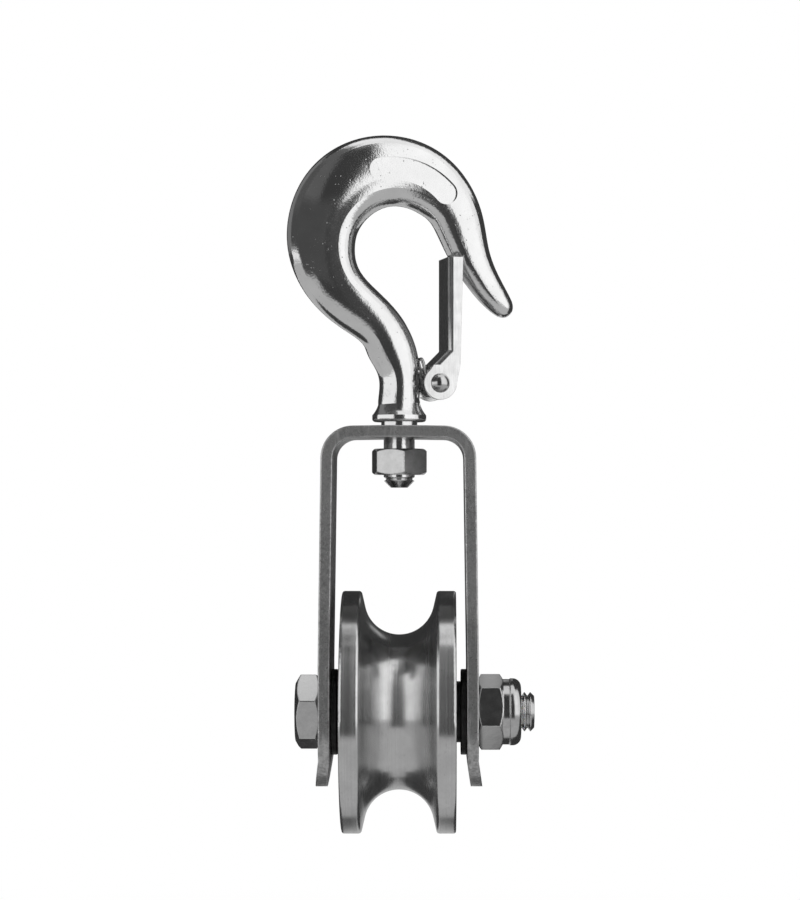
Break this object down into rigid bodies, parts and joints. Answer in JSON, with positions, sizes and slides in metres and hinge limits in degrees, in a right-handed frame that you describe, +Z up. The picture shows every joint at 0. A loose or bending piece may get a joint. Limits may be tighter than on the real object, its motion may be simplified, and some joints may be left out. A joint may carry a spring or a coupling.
{
  "type": "swivel hook pulley",
  "caption": "Safety hook with a sprung latch on a swivel shank, holding a bent strip bracket and a deep grooved wheel that runs on ball bearings.",
  "frame": {"origin": "the seat of the hook, the inside top of its bowl on the swivel axis, where the load line hangs from", "axes": "+Z up along the swivel axis, X along the axle towards the lock nut, +Y to the back"},
  "size_m": [0.0633, 0.0622, 0.1793],
  "materials": {
    "cast_stainless": "polished investment casting with a fine dimpled skin",
    "pressed_stainless": "bright folded sheet",
    "bright_fastener": "bright machined stainless",
    "spring_wire": "bright drawn wire",
    "mill_steel": "dull mill finish with sheared edges",
    "turned_steel": "fine turned finish",
    "black_steel": "black oxide",
    "bearing_steel": "ground bearing steel",
    "ball_steel": "lapped balls",
    "cage_steel": "pressed sheet",
    "seal_rubber": "moulded rubber",
    "nylon_insert": "smooth nylon"
  },
  "bodies": {
    "hook": {"hook": "cast_stainless", "shank_nut": "bright_fastener", "latch_rivet": "bright_fastener", "latch_spring": "spring_wire"},
    "latch": {"latch": "pressed_stainless"},
    "bracket": {"bracket": "mill_steel", "axle_bolt": "bright_fastener", "lock_nut": "bright_fastener", "lock_nut_insert": "nylon_insert", "bearing_spacer_tube": "bearing_steel", "left_washer": "black_steel", "right_washer": "black_steel", "left_spacer_ring": "black_steel", "right_spacer_ring": "black_steel", "left_bearing_inner_ring": "bearing_steel", "right_bearing_inner_ring": "bearing_steel"},
    "wheel": {"wheel": "turned_steel", "left_bearing_outer_ring": "bearing_steel", "right_bearing_outer_ring": "bearing_steel", "left_bearing_outer_seal": "seal_rubber", "left_bearing_inner_seal": "seal_rubber", "right_bearing_outer_seal": "seal_rubber", "right_bearing_inner_seal": "seal_rubber"},
    "left_ball_set": {"left_bearing_balls": "ball_steel", "left_bearing_cage": "cage_steel"},
    "right_ball_set": {"right_bearing_balls": "ball_steel", "right_bearing_cage": "cage_steel"}
  },
  "joints": [
    {"name": "latch_open", "type": "hinge", "parent": "hook", "child": "latch", "pos_m": [0.00924, 0.00222, -0.0456], "axis": [0.2334, -0.9724, 0], "range_deg": [0, 34], "stiffness_Nm_per_rad": 0.05, "springref_deg": -28.65, "deforming": ["latch_spring"]},
    {"name": "bracket_swivel", "type": "hinge", "parent": "hook", "child": "bracket", "pos_m": [0, 0, -0.0567], "axis": [0, 0, 1], "continuous": true},
    {"name": "wheel_spin", "type": "hinge", "parent": "bracket", "child": "wheel", "pos_m": [0, 0, -0.1301], "axis": [1, 0, 0], "continuous": true},
    {"name": "left_ball_orbit", "type": "hinge", "parent": "bracket", "child": "left_ball_set", "pos_m": [0, 0, -0.1301], "axis": [1, 0, 0], "continuous": true},
    {"name": "right_ball_orbit", "type": "hinge", "parent": "bracket", "child": "right_ball_set", "pos_m": [0, 0, -0.1301], "axis": [1, 0, 0], "continuous": true}
  ],
  "couplings": [
    {"joint": "left_ball_orbit", "follows": "wheel_spin", "ratio": 0.61908},
    {"joint": "right_ball_orbit", "follows": "wheel_spin", "ratio": 0.61908}
  ]
}
